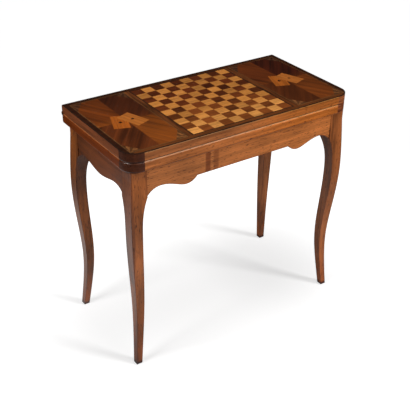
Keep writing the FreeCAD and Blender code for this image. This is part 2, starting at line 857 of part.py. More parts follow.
def card(name, place, angle):
    half_w = size("card_width") / 2
    half_l = size("card_length") / 2
    return inlay_shape(name, [turned(place, across, along, angle) for across, along in (
        (-half_w, -half_l), (half_w, -half_l), (half_w, half_l), (-half_w, half_l))])


def heart(name, place, angle, up):
    """Square on its corner with two half-round shoulders."""
    corner = size("pip") * HEART_CORNER_SHARE
    shape = inlay_shape(name + "_point", [turned(place, across, along, angle) for across, along in (
        (as_size(0), -corner * up), (corner, as_size(0)), (as_size(0), corner * up), (-corner, as_size(0)))])
    lobes = [inlay_disc("%s_lobe_%d" % (name, side), turned(place, corner * side / 2, corner * up / 2, angle),
                        corner * math.sqrt(0.5)) for side in (-1, 1)]
    return [shape] + lobes


def stem(name, place, angle):
    foot = size("pip") * STEM_FOOT_SHARE
    waist = size("pip") * STEM_WAIST_SHARE
    base = size("pip") * STEM_LENGTH_SHARE
    return inlay_shape(name, [turned(place, across, along, angle) for across, along in (
        (-foot, -base), (foot, -base), (waist, as_size(0)), (-waist, as_size(0)))])


def ace(name, suit, place, angle):
    if suit == "heart":
        return fuse(name, *heart(name, place, angle, 1))
    if suit == "spade":
        return fuse(name, stem(name + "_stem", place, angle), *heart(name, place, angle, -1))
    if suit == "diamond":
        wide = size("pip") * DIAMOND_WIDTH_SHARE
        tall = size("pip") * DIAMOND_HEIGHT_SHARE
        return inlay_shape(name, [turned(place, across, along, angle) for across, along in (
            (as_size(0), -tall), (wide, as_size(0)), (as_size(0), tall), (-wide, as_size(0)))])
    rise = size("pip") * CLUB_RISE_SHARE
    spread = size("pip") * CLUB_SPREAD_SHARE
    fall = size("pip") * CLUB_FALL_SHARE
    nought = as_size(0)
    spots = [(nought, rise), (-spread, -fall), (spread, -fall), (nought, nought)]
    leaves = [inlay_disc("%s_leaf_%d" % (name, i), turned(place, across, along, angle),
                         size("pip") * CLUB_LEAF_SHARE) for i, (across, along) in enumerate(spots)]
    return fuse(name, stem(name + "_stem", place, angle), *leaves)


pips = []
borders = []
rays = {"light": [], "dark": []}


def corner_fan(name, corner, across, along):
    """Rays spread from a panel's corner, dark and light in turn; the whole fan is given back as one blank."""
    tips = [(corner[0] + across * (1 - i / FAN_RAYS), corner[1] + along * (i / FAN_RAYS))
            for i in range(FAN_RAYS + 1)]
    for i in range(FAN_RAYS):
        tone = "dark" if i % 2 == 0 else "light"
        rays[tone].append(inlay_shape("%s_ray_%d" % (name, i), [corner, tips[i], tips[i + 1]]))
    return inlay_shape(name, [corner, tips[0], tips[-1]])


def card_panel(word, side, under_suit, over_suit):
    """Quartered veneer panel with two aces let into its centre."""
    ends = (-field_side, -divider_edge) if side < 0 else (divider_edge, field_side)
    line = size("stringing")
    low = (ends[0] + line, field_front + line)
    high = (ends[1] - line, field_back - line)
    centre = ((ends[0] + ends[1]) / 2, middle)
    border = inlay(word + "_border", (ends[0], field_front), (ends[1], field_back))
    borders.append(cut(word + "_stringing", border, inlay(word + "_field", low, high)))
    under_place = (centre[0] - size("card_spread"), centre[1])
    over_place = (centre[0] + size("card_spread"), centre[1])
    under = card(word + "_under_blank", under_place, -size("card_tilt"))
    over = card(word + "_over_blank", over_place, size("card_tilt"))
    under_pip = ace(word + "_under_pip", under_suit, under_place, -size("card_tilt"))
    over_pip = ace(word + "_over_pip", over_suit, over_place, size("card_tilt"))
    pips.extend([under_pip, over_pip])
    keep(cut(word + "_card_under", under, over, under_pip), word + "_card_under")
    keep(cut(word + "_card_over", over, over_pip), word + "_card_over")
    across = size("fan_across")
    along = size("fan_along")
    fans = [corner_fan(word + "_front_left_fan", low, across, along),
            corner_fan(word + "_front_right_fan", (high[0], low[1]), -across, along),
            corner_fan(word + "_back_right_fan", high, -across, -along),
            corner_fan(word + "_back_left_fan", (low[0], high[1]), across, -along)]
    back_left = ((low[0], centre[1]), (centre[0], high[1]))
    front_right = ((centre[0], low[1]), (high[0], centre[1]))
    quarters = {"light": [back_left, front_right], "dark": [(low, centre), (centre, high)]}
    for tone, corners in quarters.items():
        label = "%s_panel_%s" % (word, tone)
        leaves = [inlay("%s_leaf_%d" % (label, i), *ends) for i, ends in enumerate(corners, 1)]
        pieces = [cut("%s_%d" % (label, i), leaf, under, over, *fans) for i, leaf in enumerate(leaves, 1)]
        keep(group(label, pieces), label)


card_panel("left", -1, "spade", "heart")
card_panel("right", 1, "club", "diamond")
keep(group("panel_stringing", borders), "panel_stringing")
keep(group("card_pips", pips), "card_pips")
for tone, pieces in rays.items():
    keep(group("corner_rays_" + tone, pieces), "corner_rays_" + tone)


# Check every object, then write one file for each sub-part

doc.recompute()
failed = [item.Name for item in doc.Objects if "Invalid" in item.State or "Error" in item.State]
unsound = [name for name, item in nodes.items() if item.Shape.isNull() or not item.Shape.isValid()]
if failed or unsound:
    raise RuntimeError("failed: %s, unsound: %s" % (failed, unsound))
os.makedirs("parts", exist_ok=True)
for name, item in nodes.items():
    item.Shape.exportStep("parts/%s.step" % name)
    print("%-24s %3d solids %10.1f mm3" % (name, len(item.Shape.Solids), item.Shape.Volume))
whole = Part.makeCompound([item.Shape for item in nodes.values()]).optimalBoundingBox(False, False)
print("%d nodes, %.2f x %.2f x %.2f mm, centre %.3f, %.3f, lowest %.3f" % (
    len(nodes), whole.XLength, whole.YLength, whole.ZLength, whole.Center.x, whole.Center.y, whole.ZMin))
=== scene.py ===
# %% [markdown]
# Folding game table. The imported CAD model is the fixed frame: every wooden piece, hinge and
# screw is already there at its real size, so nothing is modelled twice. This lesson gives
# each surface its finish, cuts the slots of the screws, lays the baize, and sets up a small
# photo studio round the table.

# %% Load the frame
import math
import bpy
from mathutils import Euler, Matrix, Vector


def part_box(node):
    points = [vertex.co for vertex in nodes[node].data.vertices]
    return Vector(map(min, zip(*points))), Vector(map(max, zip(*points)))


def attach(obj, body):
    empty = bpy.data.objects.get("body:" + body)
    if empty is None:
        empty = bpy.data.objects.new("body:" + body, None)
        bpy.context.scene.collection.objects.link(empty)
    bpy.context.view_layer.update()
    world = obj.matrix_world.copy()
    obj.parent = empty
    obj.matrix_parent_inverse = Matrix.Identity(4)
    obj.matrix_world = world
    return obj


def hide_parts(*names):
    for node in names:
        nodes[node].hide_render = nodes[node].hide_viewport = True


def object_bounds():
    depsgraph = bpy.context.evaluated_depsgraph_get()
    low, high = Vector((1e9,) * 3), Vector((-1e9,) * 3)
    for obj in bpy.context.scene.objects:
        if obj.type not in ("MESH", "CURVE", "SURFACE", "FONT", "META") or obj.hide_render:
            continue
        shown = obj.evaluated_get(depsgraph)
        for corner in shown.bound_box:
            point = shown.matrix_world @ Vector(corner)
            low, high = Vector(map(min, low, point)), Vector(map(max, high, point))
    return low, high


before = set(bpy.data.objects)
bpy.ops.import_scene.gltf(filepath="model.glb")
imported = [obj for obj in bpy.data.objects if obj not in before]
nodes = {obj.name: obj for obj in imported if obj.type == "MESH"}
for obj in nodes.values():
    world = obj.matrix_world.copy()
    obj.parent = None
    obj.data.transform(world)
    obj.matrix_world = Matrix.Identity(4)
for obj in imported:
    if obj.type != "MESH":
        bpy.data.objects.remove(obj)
cad_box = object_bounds()
bpy.context.scene.view_settings.view_transform = "Standard"
print("CAD box", [round(side, 4) for side in cad_box[1] - cad_box[0]], "nodes", len(nodes))

# %% [markdown]
# The camera stands where the photographer stood: front left, at the height of a standing
# person's eyes. Its place, lens and slight roll were found by fitting the ten-by-ten board,
# the feet and the top's edges in the photograph, so the picture can be compared directly.

# %% Camera
CAMERA_PLACE = (-1.3007, -1.8554, 1.7344)
CAMERA_TURN = 34.87
CAMERA_DIP = 31.04
CAMERA_ROLL = 1.07
SENSOR_WIDTH = 36.0
FOCAL_LENGTH = 69.44

aim = Euler((math.radians(90 - CAMERA_DIP), 0, -math.radians(CAMERA_TURN))).to_matrix()
roll = Matrix.Rotation(math.radians(CAMERA_ROLL), 3, "Z")
bpy.ops.object.camera_add(location=CAMERA_PLACE, rotation=(aim @ roll).to_euler())
camera = bpy.context.object
camera.data.sensor_width = SENSOR_WIDTH
camera.data.lens = FOCAL_LENGTH
bpy.context.scene.camera = camera
distance = (Vector(CAMERA_PLACE) - sum(cad_box, Vector()) / 2).length
print("camera", round(distance, 3), "m from the table")

# %% [markdown]
# Materials are node trees. They could be put together by hand in the shader editor; in a
# script a few helpers do it. One adds any node with its settings, links and colour stops, one
# turns the sRGB hex colours into the linear values that the shader works with, and one starts
# an empty material.

# %% Helpers for materials
MM = 0.001


def linear(code):
    """Linear colour of an sRGB hex code."""
    parts = [int(code[i:i + 2], 16) / 255 for i in (1, 3, 5)]
    return [p / 12.92 if p <= 0.04045 else ((p + 0.055) / 1.055) ** 2.4 for p in parts] + [1]


def add(tree, kind, links=None, stops=(), **settings):
    """Add a node; links name its inputs and hold sockets or plain values.

    Stops are the (place, linear colour) pairs of a colour ramp.
    """
    made = tree.nodes.new("ShaderNode" + kind)
    for name, value in settings.items():
        setattr(made, name, value)
    for name, value in (links or {}).items():
        if isinstance(value, bpy.types.NodeSocket):
            tree.links.new(value, made.inputs[name])
        else:
            made.inputs[name].default_value = value
    if stops:
        band = made.color_ramp.elements
        while len(band) < len(stops):
            band.new(1)
        for element, (place, colour) in zip(band, stops):
            element.position = place
            element.color = colour
    return made


def new_material(name):
    """An empty material, its tree and its surface socket."""
    material = bpy.data.materials.new(name)
    material.use_nodes = True
    tree = material.node_tree
    tree.nodes.clear()
    return material, tree, add(tree, "OutputMaterial").inputs["Surface"]


print("helpers ready, sRGB mid grey is", round(linear("#808080")[0], 3), "linear")

# %% [markdown]
# The table stands on a sheet of pale paper, as in a small studio, and past the paper the
# floor is dark. A pale floor all over would be simpler, but the polished wood mirrors it from
# every side and turns grey. So the tone is a colour ramp over the distance from the middle.

# %% Paper floor
FLOOR_SIZE = 40.0
PAPER_GREY = "#C4C4C4"
ROOM_GREY = "#303030"
PAPER_FROM = 0.9
PAPER_TO = 1.5

bpy.ops.object.select_all(action="DESELECT")
bpy.ops.mesh.primitive_plane_add(size=FLOOR_SIZE)
floor = bpy.context.object
floor.name = "studio_floor"
paper, tree, surface = new_material("pale paper on a dark floor")
floor.data.materials.append(paper)
place = add(tree, "TexCoord").outputs["Object"]
away = add(tree, "VectorMath", {0: place}, operation="LENGTH").outputs["Value"]
past = add(tree, "MapRange", {"Value": away, "From Min": PAPER_FROM, "From Max": PAPER_TO})
ground = add(tree, "ValToRGB", {"Fac": past.outputs["Result"]},
             stops=[(0, linear(PAPER_GREY)), (1, linear(ROOM_GREY))]).outputs["Color"]
lit = add(tree, "BsdfDiffuse", {"Color": ground}).outputs["BSDF"]
print("paper out to", PAPER_TO, "m on a floor of", FLOOR_SIZE, "m")

# %% [markdown]
# In the photograph the background goes from pale grey under the table to plain white. More
# light would do that too, but it would bleach the wood. Instead the floor glows for the
# camera: least under the table, where the soft shadow lies, and fully a short way off. The
# left faces of the legs have a pale sheen, so the glow left of the table shows in mirror
# rays too, as bright paper there would. The room itself is dim, and white to the camera alone.

# %% White background
SHADE_MIDDLE = (-0.065, -0.035, 0)
SHADE_REACH = (0.258, 0, 0)
WHITE_BY = 0.699
WHITE_NEAR = 0.514
MIRROR_MIDDLE = (-0.66, 0.3, 0)
MIRROR_FROM = 0.3
MIRROR_TO = 0.65
MIRROR_SHARE = 0.9
ROOM_LIGHT = 0.02
WHITE = linear("#FFFFFF")

outside = place
for operation, value in (("SUBTRACT", SHADE_MIDDLE), ("ABSOLUTE", None),
                         ("SUBTRACT", SHADE_REACH), ("MAXIMUM", (0, 0, 0))):
    links = {0: outside} if value is None else {0: outside, 1: value}
    outside = add(tree, "VectorMath", links, operation=operation).outputs["Vector"]
outside = add(tree, "VectorMath", {0: outside}, operation="LENGTH").outputs["Value"]
white = add(tree, "MapRange", {"Value": outside, "From Max": WHITE_BY, "To Min": WHITE_NEAR},
            interpolation_type="SMOOTHSTEP").outputs["Result"]
ray = add(tree, "LightPath").outputs
beside = add(tree, "VectorMath", {0: place, 1: MIRROR_MIDDLE}, operation="DISTANCE")
near = add(tree, "MapRange", {"Value": beside.outputs["Value"], "From Min": MIRROR_FROM,
                              "From Max": MIRROR_TO, "To Min": MIRROR_SHARE,
                              "To Max": 0.0}).outputs["Result"]
mirrored = add(tree, "Math", {0: near, 1: ray["Is Glossy Ray"]}, operation="MULTIPLY")
seen = add(tree, "Math", {0: ray["Is Camera Ray"], 1: mirrored.outputs["Value"]},
           operation="MAXIMUM").outputs["Value"]
white = add(tree, "Math", {0: white, 1: seen}, operation="MULTIPLY").outputs["Value"]
glow = add(tree, "Emission", {"Color": WHITE, "Strength": white}).outputs["Emission"]
tree.links.new(add(tree, "AddShader", {0: lit, 1: glow}).outputs["Shader"], surface)

room = bpy.data.worlds.new("dim room")
room.use_nodes = True
sky = room.node_tree
backdrop = sky.nodes["Background"].inputs
backdrop["Color"].default_value = WHITE
camera_ray = add(sky, "LightPath").outputs["Is Camera Ray"]
seen = add(sky, "Math", {0: camera_ray, 1: ROOM_LIGHT}, operation="MAXIMUM").outputs["Value"]
sky.links.new(seen, backdrop["Strength"])
bpy.context.scene.world = room
print("floor white from", WHITE_BY, "m outside the table's shade, room light", ROOM_LIGHT)

# %% [markdown]
# A far lamp at the front right lights the front rail and throws the long faint shadows to
# the back left. A smaller one, high on the left, lights the left end, and a weak one over the
# front lifts the top. Seen from behind, the far lamp would stand mirrored in the polish and
# turn half of the top white. A photographer turns a polarising filter against that; here
# two lamps share one place, one that only lights and a weaker one that only glints. A weak
# fill behind the right keeps the back from going black. Light linking keeps it off the
# floor, so that it doesn't wash out the shadows there. The rear right leg's inner face lies in
# deep shade, so a reflector card at the back left is aimed at that leg alone.

# %% Lamps
TABLE_MIDDLE = Vector((0, 0, 0.5))
KEY_PLACE = (2.92, -4.1, 2.9)
# Place, side in metres and power in watts of each lamp.
LAMPS = {"key_lamp": (KEY_PLACE, 1.2, 200), "key_glint": (KEY_PLACE, 1.2, 60),
         "top_lamp": ((0.1, -0.9, 1.95), 1.0, 8), "left_lamp": ((-1.7, -0.1, 1.9), 0.7, 24),
         "back_fill": ((0.9, 2.4, 0.9), 1.2, 15), "leg_card": ((-1.2, 1.6, 0.5), 0.8, 30)}

for name, (spot, size, power) in LAMPS.items():
    turn = (TABLE_MIDDLE - Vector(spot)).to_track_quat("-Z", "Y").to_euler()
    bpy.ops.object.light_add(type="AREA", location=spot, rotation=turn)
    bpy.context.object.name = name
    bpy.context.object.data.size = size
    bpy.context.object.data.energy = power
bpy.data.objects["key_lamp"].visible_glossy = False
bpy.data.objects["key_glint"].visible_diffuse = False
for name, piece, state in (("back_fill", floor, "EXCLUDE"),
                           ("leg_card", nodes["rear_right_leg"], "INCLUDE")):
    linked = bpy.data.collections.new("linked to " + name)
    linked.objects.link(piece)
    linked.collection_objects[0].light_linking.link_state = state
    bpy.data.objects[name].light_linking.receiver_collection = linked
    bpy.data.objects[name].visible_glossy = False
print("studio with", len(LAMPS), "lamps")

# %% [markdown]
# Wood is long fibres with pores between them. Seen square to the grain it shows bands of
# tone where the saw crossed the growth rings, fine streaks along the fibres, and short dark
# flecks where pores are cut open; with age the wax darkens in soft patches. So one recipe
# serves all the woods here: noises stretched along the grain, each of a band's, a streak's,
# a pore's or a patch's size. What differs is the colour, the direction of the grain and how
# bold the bands are. Real pores are finer than a pixel here and would vanish, so they are
# drawn three times as coarse. Sharp edges are drawn darker: a Bevel node rounds the normal
# near an edge, and where it turns away from the true one, a darker tint is mixed in. That line
# too is drawn wider than a real one, so that it shows.

# %% Wood recipe
TONE_STOPS = (0.34, 0.45, 0.55, 0.67)
TONE_STEPS = (-1, -0.25, 0.3, 1.1)
GRAIN_ROUGHNESS = 0.55
STREAK_STRETCH = 28
PATCH_MM = 110
PATCH_STRETCH = 1.6
PORE_MM = (3.0, 15)
PORE_EDGE = (0.6, 0.72)
PORE_BROWN = "#2A120A"
GLOSS_SWING = (-0.08, 0.1)
RELIEF = 0.25
RELIEF_DEPTH = 0.4 * MM
ARRIS_MM = 4.0
ARRIS_TURN = (0.985, 0.87)
ARRIS_SAMPLES = 8
WAX_IOR = 1.5


def wood(name, code, turn, spread=0.4, band_mm=22, band_length_mm=420, streak_mm=3.5,
         streak_share=0.35, patch=0.2, pores=0.5, gloss=0.4, wander=0.5, cell=None, marks=(),
         arris=None):
    """Wood of one hex colour, its grain along X after the turn.

    A cell (size in mm, spread of tone) cuts it into squares with a tone of their own. Marks
    are stripes of another tone: the axis they cross, where they begin and end and how soft
    their edges are, all in mm, and a tint that darkens, or a colour to MIX in. An arris is
    the tint that darkens sharp edges.
    """
    material, tree, surface = new_material(name)
    place = add(tree, "TexCoord").outputs["Object"]
    along = add(tree, "Mapping", {"Vector": place, "Rotation": [math.radians(a) for a in turn]})
    along = along.outputs["Vector"]
    if cell:
        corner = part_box("board_light_squares")[0]
        per_cell = 1 / (cell[0] * MM)
        steps = add(tree, "VectorMath", {0: place, 1: (corner.x, corner.y, 0)},
                    operation="SUBTRACT").outputs["Vector"]
        steps = add(tree, "VectorMath", {0: steps, 1: (per_cell, per_cell, 0)},
                    operation="MULTIPLY").outputs["Vector"]
        steps = add(tree, "VectorMath", {0: steps}, operation="FLOOR").outputs["Vector"]
        lot = add(tree, "TexWhiteNoise", {"Vector": steps}, noise_dimensions="3D").outputs
        along = add(tree, "VectorMath", {0: along, 1: lot["Color"]},
                    operation="ADD").outputs["Vector"]

    def grain(width_mm, length_mm, detail, distortion=0.0):
        """Noise of one width, stretched along the grain."""
        stretch = (1 / (length_mm * MM), 1 / (width_mm * MM), 1 / (width_mm * MM))
        scaled = add(tree, "VectorMath", {0: along, 1: stretch}, operation="MULTIPLY")
        return add(tree, "TexNoise", {
            "Vector": scaled.outputs["Vector"], "Scale": 1.0, "Detail": detail,
            "Roughness": GRAIN_ROUGHNESS, "Distortion": distortion}).outputs["Fac"]

    def shifted(value, by, reach):
        """Value moved up or down by another one."""
        moved = add(tree, "MapRange", {"Value": by, "To Min": -reach, "To Max": reach})
        return add(tree, "Math", {0: value, 1: moved.outputs["Result"]},
                   operation="ADD").outputs["Value"]

    streaks = grain(streak_mm, streak_mm * STREAK_STRETCH, detail=2.0)
    bands = grain(band_mm, band_length_mm, detail=3.0, distortion=wander)
    tone = add(tree, "Mix", {"Factor": streak_share, "A": bands, "B": streaks}).outputs["Result"]
    tone = shifted(tone, grain(PATCH_MM, PATCH_MM * PATCH_STRETCH, detail=1.0), patch)
    if cell:
        tone = shifted(tone, lot["Value"], cell[1])
    base = linear(code)[:3]
    stops = [(stop, [c * (1 + step * spread) for c in base] + [1])
             for stop, step in zip(TONE_STOPS, TONE_STEPS)]
    colour = add(tree, "ValToRGB", {"Fac": tone}, stops=stops).outputs["Color"]
    for axis, begin, end, soft, tint, *blend in marks:
        across = add(tree, "SeparateXYZ", {"Vector": place}).outputs[axis]
        rise, fall = [
            add(tree, "MapRange", {"Value": across, "From Min": outer * MM,
                                   "From Max": inner * MM},
                interpolation_type="SMOOTHSTEP").outputs["Result"]
            for outer, inner in ((begin - soft, begin), (end + soft, end))]
        depth = add(tree, "Math", {0: rise, 1: fall}, operation="MULTIPLY").outputs["Value"]
        colour = add(tree, "MixRGB", {"Fac": depth, "Color1": colour, "Color2": linear(tint)},
                     blend_type=blend[0] if blend else "MULTIPLY").outputs["Color"]
    if arris:
        rounded = add(tree, "Bevel", {"Radius": ARRIS_MM * MM}, samples=ARRIS_SAMPLES)
        flat = add(tree, "NewGeometry").outputs["Normal"]
        turned = add(tree, "VectorMath", {0: rounded.outputs["Normal"], 1: flat},
                     operation="DOT_PRODUCT")
        edge = add(tree, "MapRange", {"Value": turned.outputs["Value"],
                                      "From Min": ARRIS_TURN[0],
                                      "From Max": ARRIS_TURN[1]}).outputs["Result"]
        colour = add(tree, "MixRGB", {"Fac": edge, "Color1": colour, "Color2": linear(arris)},
                     blend_type="MULTIPLY").outputs["Color"]
    pore = add(tree, "MapRange", {"Value": grain(*PORE_MM, detail=1.0), "From Min": PORE_EDGE[0],
                                  "From Max": PORE_EDGE[1]}).outputs["Result"]
    pore = add(tree, "Math", {0: pore, 1: pores}, operation="MULTIPLY").outputs["Value"]
    colour = add(tree, "MixRGB", {"Fac": pore, "Color1": colour,
                                  "Color2": linear(PORE_BROWN)}).outputs["Color"]
    rough = add(tree, "MapRange", {"Value": streaks, "To Min": gloss + GLOSS_SWING[0],
                                   "To Max": gloss + GLOSS_SWING[1]}).outputs["Result"]
    height = add(tree, "Math", {0: streaks, 1: pore}, operation="SUBTRACT").outputs["Value"]
    bump = add(tree, "Bump", {"Height": height, "Strength": RELIEF,
                              "Distance": RELIEF_DEPTH}).outputs["Normal"]
    finish = add(tree, "BsdfPrincipled", {"Base Color": colour, "Roughness": rough,
                                          "IOR": WAX_IOR, "Normal": bump})
    tree.links.new(finish.outputs["BSDF"], surface)
    return material


def clothe(material, *names):
    """Give CAD nodes their finish."""
    for name in names:
        mesh = nodes[name].data
        mesh.materials.clear()
        mesh.materials.append(material)


ALONG_X = (0, 0, 0)
ALONG_Y = (0, 0, -90)
ALONG_Z = (0, 90, 0)
print("wood recipe ready, pores", PORE_MM[0], "by", PORE_MM[1], "mm")

# %% [markdown]
# The frame is solid walnut that has faded and been waxed for a long time: warm mid brown,
# with open pores and soft bands. Its legs are sawn with the grain running up, and its rails
# along their length. The CAD solids have the right shape, so they only get a finish, with
# dark arrises. The front rail has a dark figure left of its middle, with a pale line in it,
# and painted shade darkens its left half. The end rails are darkened as painted shade. The
# legs grow darker towards the feet, the soles most, and painted shade darkens and cools the
# front left leg's outer face: those are marks, stripes placed in millimetres. The two back
# legs are pieces of darker wood. The rails at the back stood to the wall, so they are plain
# beech.

# %% Frame in faded walnut
FIGURE = ("X", -139, -128, 6, "#BBA89C")
FAINT_FIGURE = ("X", -110, -100, 8, "#D2C8C2")
# Painted shade: the left end of the front rail is darkened, and its left half less so.
PAINTED_SHADE_LEFT_OF_RAIL = ("X", -500, -200, 250, "#ECF0F9")
PAINTED_SHADE_LEFT_HALF_OF_RAIL = ("X", -500, 0, 250, "#F2F3F9")
# The soles, and the legs towards the feet, are drawn darker.
DARKER_SOLES = ("Z", -10, 6, 12, "#7A6A60")
DARK_FEET = ("Z", -50, 20, 240, "#EBD8C0")
# Painted shade: the outer face of the front left leg is darkened and cooled.
PAINTED_SHADE_LEFT_LEG_FACE = ("X", -500, -389, 3, "#C9C9DE")
DARK_ARRIS = "#B39B8E"
clothe(wood("waxed walnut, front rail", "#BF7037", ALONG_X, spread=0.45, pores=0.7,
            marks=[FIGURE, FAINT_FIGURE, PAINTED_SHADE_LEFT_OF_RAIL, PAINTED_SHADE_LEFT_HALF_OF_RAIL], arris=DARK_ARRIS),
       "front_rail")
# Painted shade: the end rails are coloured darker than the front rail.
clothe(wood("walnut darkened by painted shade, end rails", "#723B1A", ALONG_Y, arris=DARK_ARRIS), "left_rail",
       "right_rail")
LEG = {"spread": 0.5, "pores": 0.7, "arris": DARK_ARRIS}
FOOT = [DARKER_SOLES, DARK_FEET]
clothe(wood("waxed walnut, legs", "#9F5A2D", ALONG_Z, marks=FOOT + [PAINTED_SHADE_LEFT_LEG_FACE], **LEG),
       "front_left_leg", "front_right_leg")
clothe(wood("waxed walnut, gate leg", "#874A20", ALONG_Z, marks=FOOT, **LEG), "gate_leg")
clothe(wood("waxed walnut, rear right leg", "#8B5029", ALONG_Z, marks=FOOT, **LEG),
       "rear_right_leg")
clothe(wood("plain beech, hidden rails", "#AA714A", ALONG_X, pores=0.25, gloss=0.6),
       "back_rail", "knuckle_rail", "fly_rail", "top_blocks")
print("frame clothed in walnut and beech")

# %% [markdown]
# The leaves are boards edged with strips of walnut, with a darker block let in at each
# rounded corner. The strips run round the edge, so the end strips have their grain front to
# back. Hands have polished these edges most, so they shine more than the frame. A pale line
# of painted highlight runs along the upper arris of both front strips and, less so, along the
# other strips of the lower leaf. A dark line of painted shade lies in the joint of the leaves.
# The underside of the lower front strip and the end and back strips are darkened as painted
# shade, and the front strips get painted warm light towards the right.

# %% Leaf edges
EDGE = {"band_mm": 14, "spread": 0.5, "pores": 0.75, "gloss": 0.31}
# Painted shade: a dark line in the joint of the leaves, on the strips and the corner blocks.
PAINTED_JOINT_SHADE = ("Z", 721.3, 723, 0.6, "#5A4A44")
# Painted warm light on the right of the front strips.
PAINTED_WARM_LIGHT_RIGHT = ("X", 200, 500, 300, "#FFF3C4")
SHADED_UNDERSIDE = ("Z", 680, 695, 3, "#E1DED3")
# Painted highlights: pale lines along the upper arris of the front strips, and of the end and
# back strips.
PAINTED_ARRIS_HIGHLIGHT = {"lower": ("Z", 718.8, 721, 0.8, "#DDA577", "MIX"),
              "upper": ("Z", 747.5, 760, 1.5, "#B58154", "MIX")}
PAINTED_END_HIGHLIGHT = ("Z", 718.8, 721, 0.8, "#B06A3C", "MIX")
CORNER = {"band_mm": 9, "band_length_mm": 60, "gloss": 0.3, "marks": [PAINTED_JOINT_SHADE]}
# Painted shade: the third colour, for the end and back strips, is darker than the front's.
for leaf, front, ends in (("lower", "#B66A36", "#7F3910"), ("upper", "#A66235", "#8B4E2E")):
    clothe(wood("waxed walnut, %s front strip" % leaf, front, ALONG_X,
                marks=[PAINTED_JOINT_SHADE, SHADED_UNDERSIDE, PAINTED_ARRIS_HIGHLIGHT[leaf], PAINTED_WARM_LIGHT_RIGHT], **EDGE),
           leaf + "_front_lipping")
    clothe(wood("waxed walnut, %s back strip" % leaf, ends, ALONG_X, marks=[PAINTED_JOINT_SHADE, PAINTED_END_HIGHLIGHT],
                **EDGE), leaf + "_back_lipping")
    clothe(wood("waxed walnut, %s end strips" % leaf, ends, ALONG_Y, marks=[PAINTED_JOINT_SHADE, PAINTED_END_HIGHLIGHT],
                **EDGE), leaf + "_left_lipping", leaf + "_right_lipping")
clothe(wood("dark walnut, left corner blocks", "#512918", ALONG_X, **CORNER),
       "lower_left_corner", "upper_left_corner")
clothe(wood("red walnut, lower right corner block", "#7C4125", ALONG_X, spread=0.7, **CORNER),
       "lower_right_corner")
clothe(wood("red walnut, upper right corner block", "#985631", ALONG_X, spread=0.7, **CORNER),
       "upper_right_corner")
clothe(wood("walnut boards", "#8A5A38", ALONG_X), "lower_core", "upper_core")
print("leaves clothed in walnut")

# %% [markdown]
# The closed top is marquetry: thin veneers sawn to fit like a puzzle, glued to the board and
# polished together. Pale and dark squares make the draughts board. Each was cut from another
# place of the sheet, so the wood recipe gives each cell a tone of its own. One material for
# each of the hundred squares would do it too, but a cell pattern is easier to change. Painted
# shade darkens the squares towards the back.

# %% Draughts board
SQUARES_ACROSS = 10
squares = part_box("board_light_squares")
SQUARE_MM = (squares[1].x - squares[0].x) / SQUARES_ACROSS / MM
POLISH = {"pores": 0.3, "gloss": 0.38}
SMALL = {"band_mm": 8, "band_length_mm": 120, "streak_mm": 2.5, "patch": 0.1, **POLISH}
# Painted shade: both kinds of square are darkened towards the back.
PAINTED_SHADE_PALE_BACK = ("Y", -60, 400, 90, "#E6DDCE")
PAINTED_SHADE_DARK_BACK = ("Y", 60, 400, 200, "#C1ACB2")
clothe(wood("pale fruitwood squares", "#D99249", ALONG_X, spread=0.3, cell=(SQUARE_MM, 0.12),
            marks=[PAINTED_SHADE_PALE_BACK], **SMALL), "board_light_squares")
clothe(wood("dark rosewood squares", "#7A3F17", ALONG_X, spread=0.5, cell=(SQUARE_MM, 0.14),
            marks=[PAINTED_SHADE_DARK_BACK], **SMALL), "board_dark_squares")
print("board clothed, square", round(SQUARE_MM, 2), "mm")

# %% [markdown]
# The two panels beside the board are quartered: four pieces of striped veneer, with the grain
# of each pointing to the cards at the centre, so that they catch the light in pairs. That
# light and shade is painted, as a paler and a darker colour for the pairs. The cards are
# boxwood with ebony pips, and a small speckled fan fills each corner. Dots finer than a pixel
# would vanish, so the speckle of the fans is drawn coarser than the real one.

# %% Panels, cards and fans
TOWARDS_BACK_LEFT = (0, 0, 60)
TOWARDS_BACK_RIGHT = (0, 0, -52)
UNDER_CARD_TURN = (0, 0, -70)
OVER_CARD_TURN = (0, 0, -110)
STRIPED = {"spread": 0.5, "band_mm": 15, "band_length_mm": 600, "streak_mm": 4,
           "streak_share": 0.25, "wander": 0.15, **POLISH}
# Colour of each pair of quarters, and the tint of painted shade on its back half.
QUARTERS = {"left_panel_light": ("#824213", "#D0C6D2"),
            "right_panel_light": ("#6F3610", "#F0E6F9"),
            "left_panel_dark": ("#5C2B0F", "#BEBBCB"),
            "right_panel_dark": ("#4F240A", "#DBBDE7")}
CARDS = (("left", "#A35418", "#AE6427"), ("right", "#A4571B", "#B6682A"))
# Painted shade darkens the back of the fans.
PAINTED_SHADE_FAN_BACK = ("Y", 0, 400, 60, "#BBBBD7")
FAN_RIGHT = ("X", 150, 500, 10, "#EBECF6")
SPECKLE = {"band_mm": 7, "band_length_mm": 8, "streak_mm": 4, "patch": 0.1, "spread": 0.6,
           "marks": [PAINTED_SHADE_FAN_BACK, FAN_RIGHT], **POLISH}
for name, (code, painted_back_shade) in QUARTERS.items():
    turn = TOWARDS_BACK_LEFT if name.endswith("light") else TOWARDS_BACK_RIGHT
    clothe(wood("striped veneer, " + name.replace("_", " "), code, turn,
                marks=[("Y", 40, 400, 60, painted_back_shade)], **STRIPED), name)
for side, under, over in CARDS:
    clothe(wood("boxwood, %s under card" % side, under, UNDER_CARD_TURN, spread=0.3, **SMALL),
           side + "_card_under")
    clothe(wood("boxwood, %s over card" % side, over, OVER_CARD_TURN, spread=0.3, **SMALL),
           side + "_card_over")
clothe(wood("ebony pips", "#1C0E0A", ALONG_X, **SMALL), "card_pips")
clothe(wood("pale fan rays", "#84522A", ALONG_X, **SPECKLE), "corner_rays_light")
clothe(wood("dark fan rays", "#583419", ALONG_X, **SPECKLE), "corner_rays_dark")
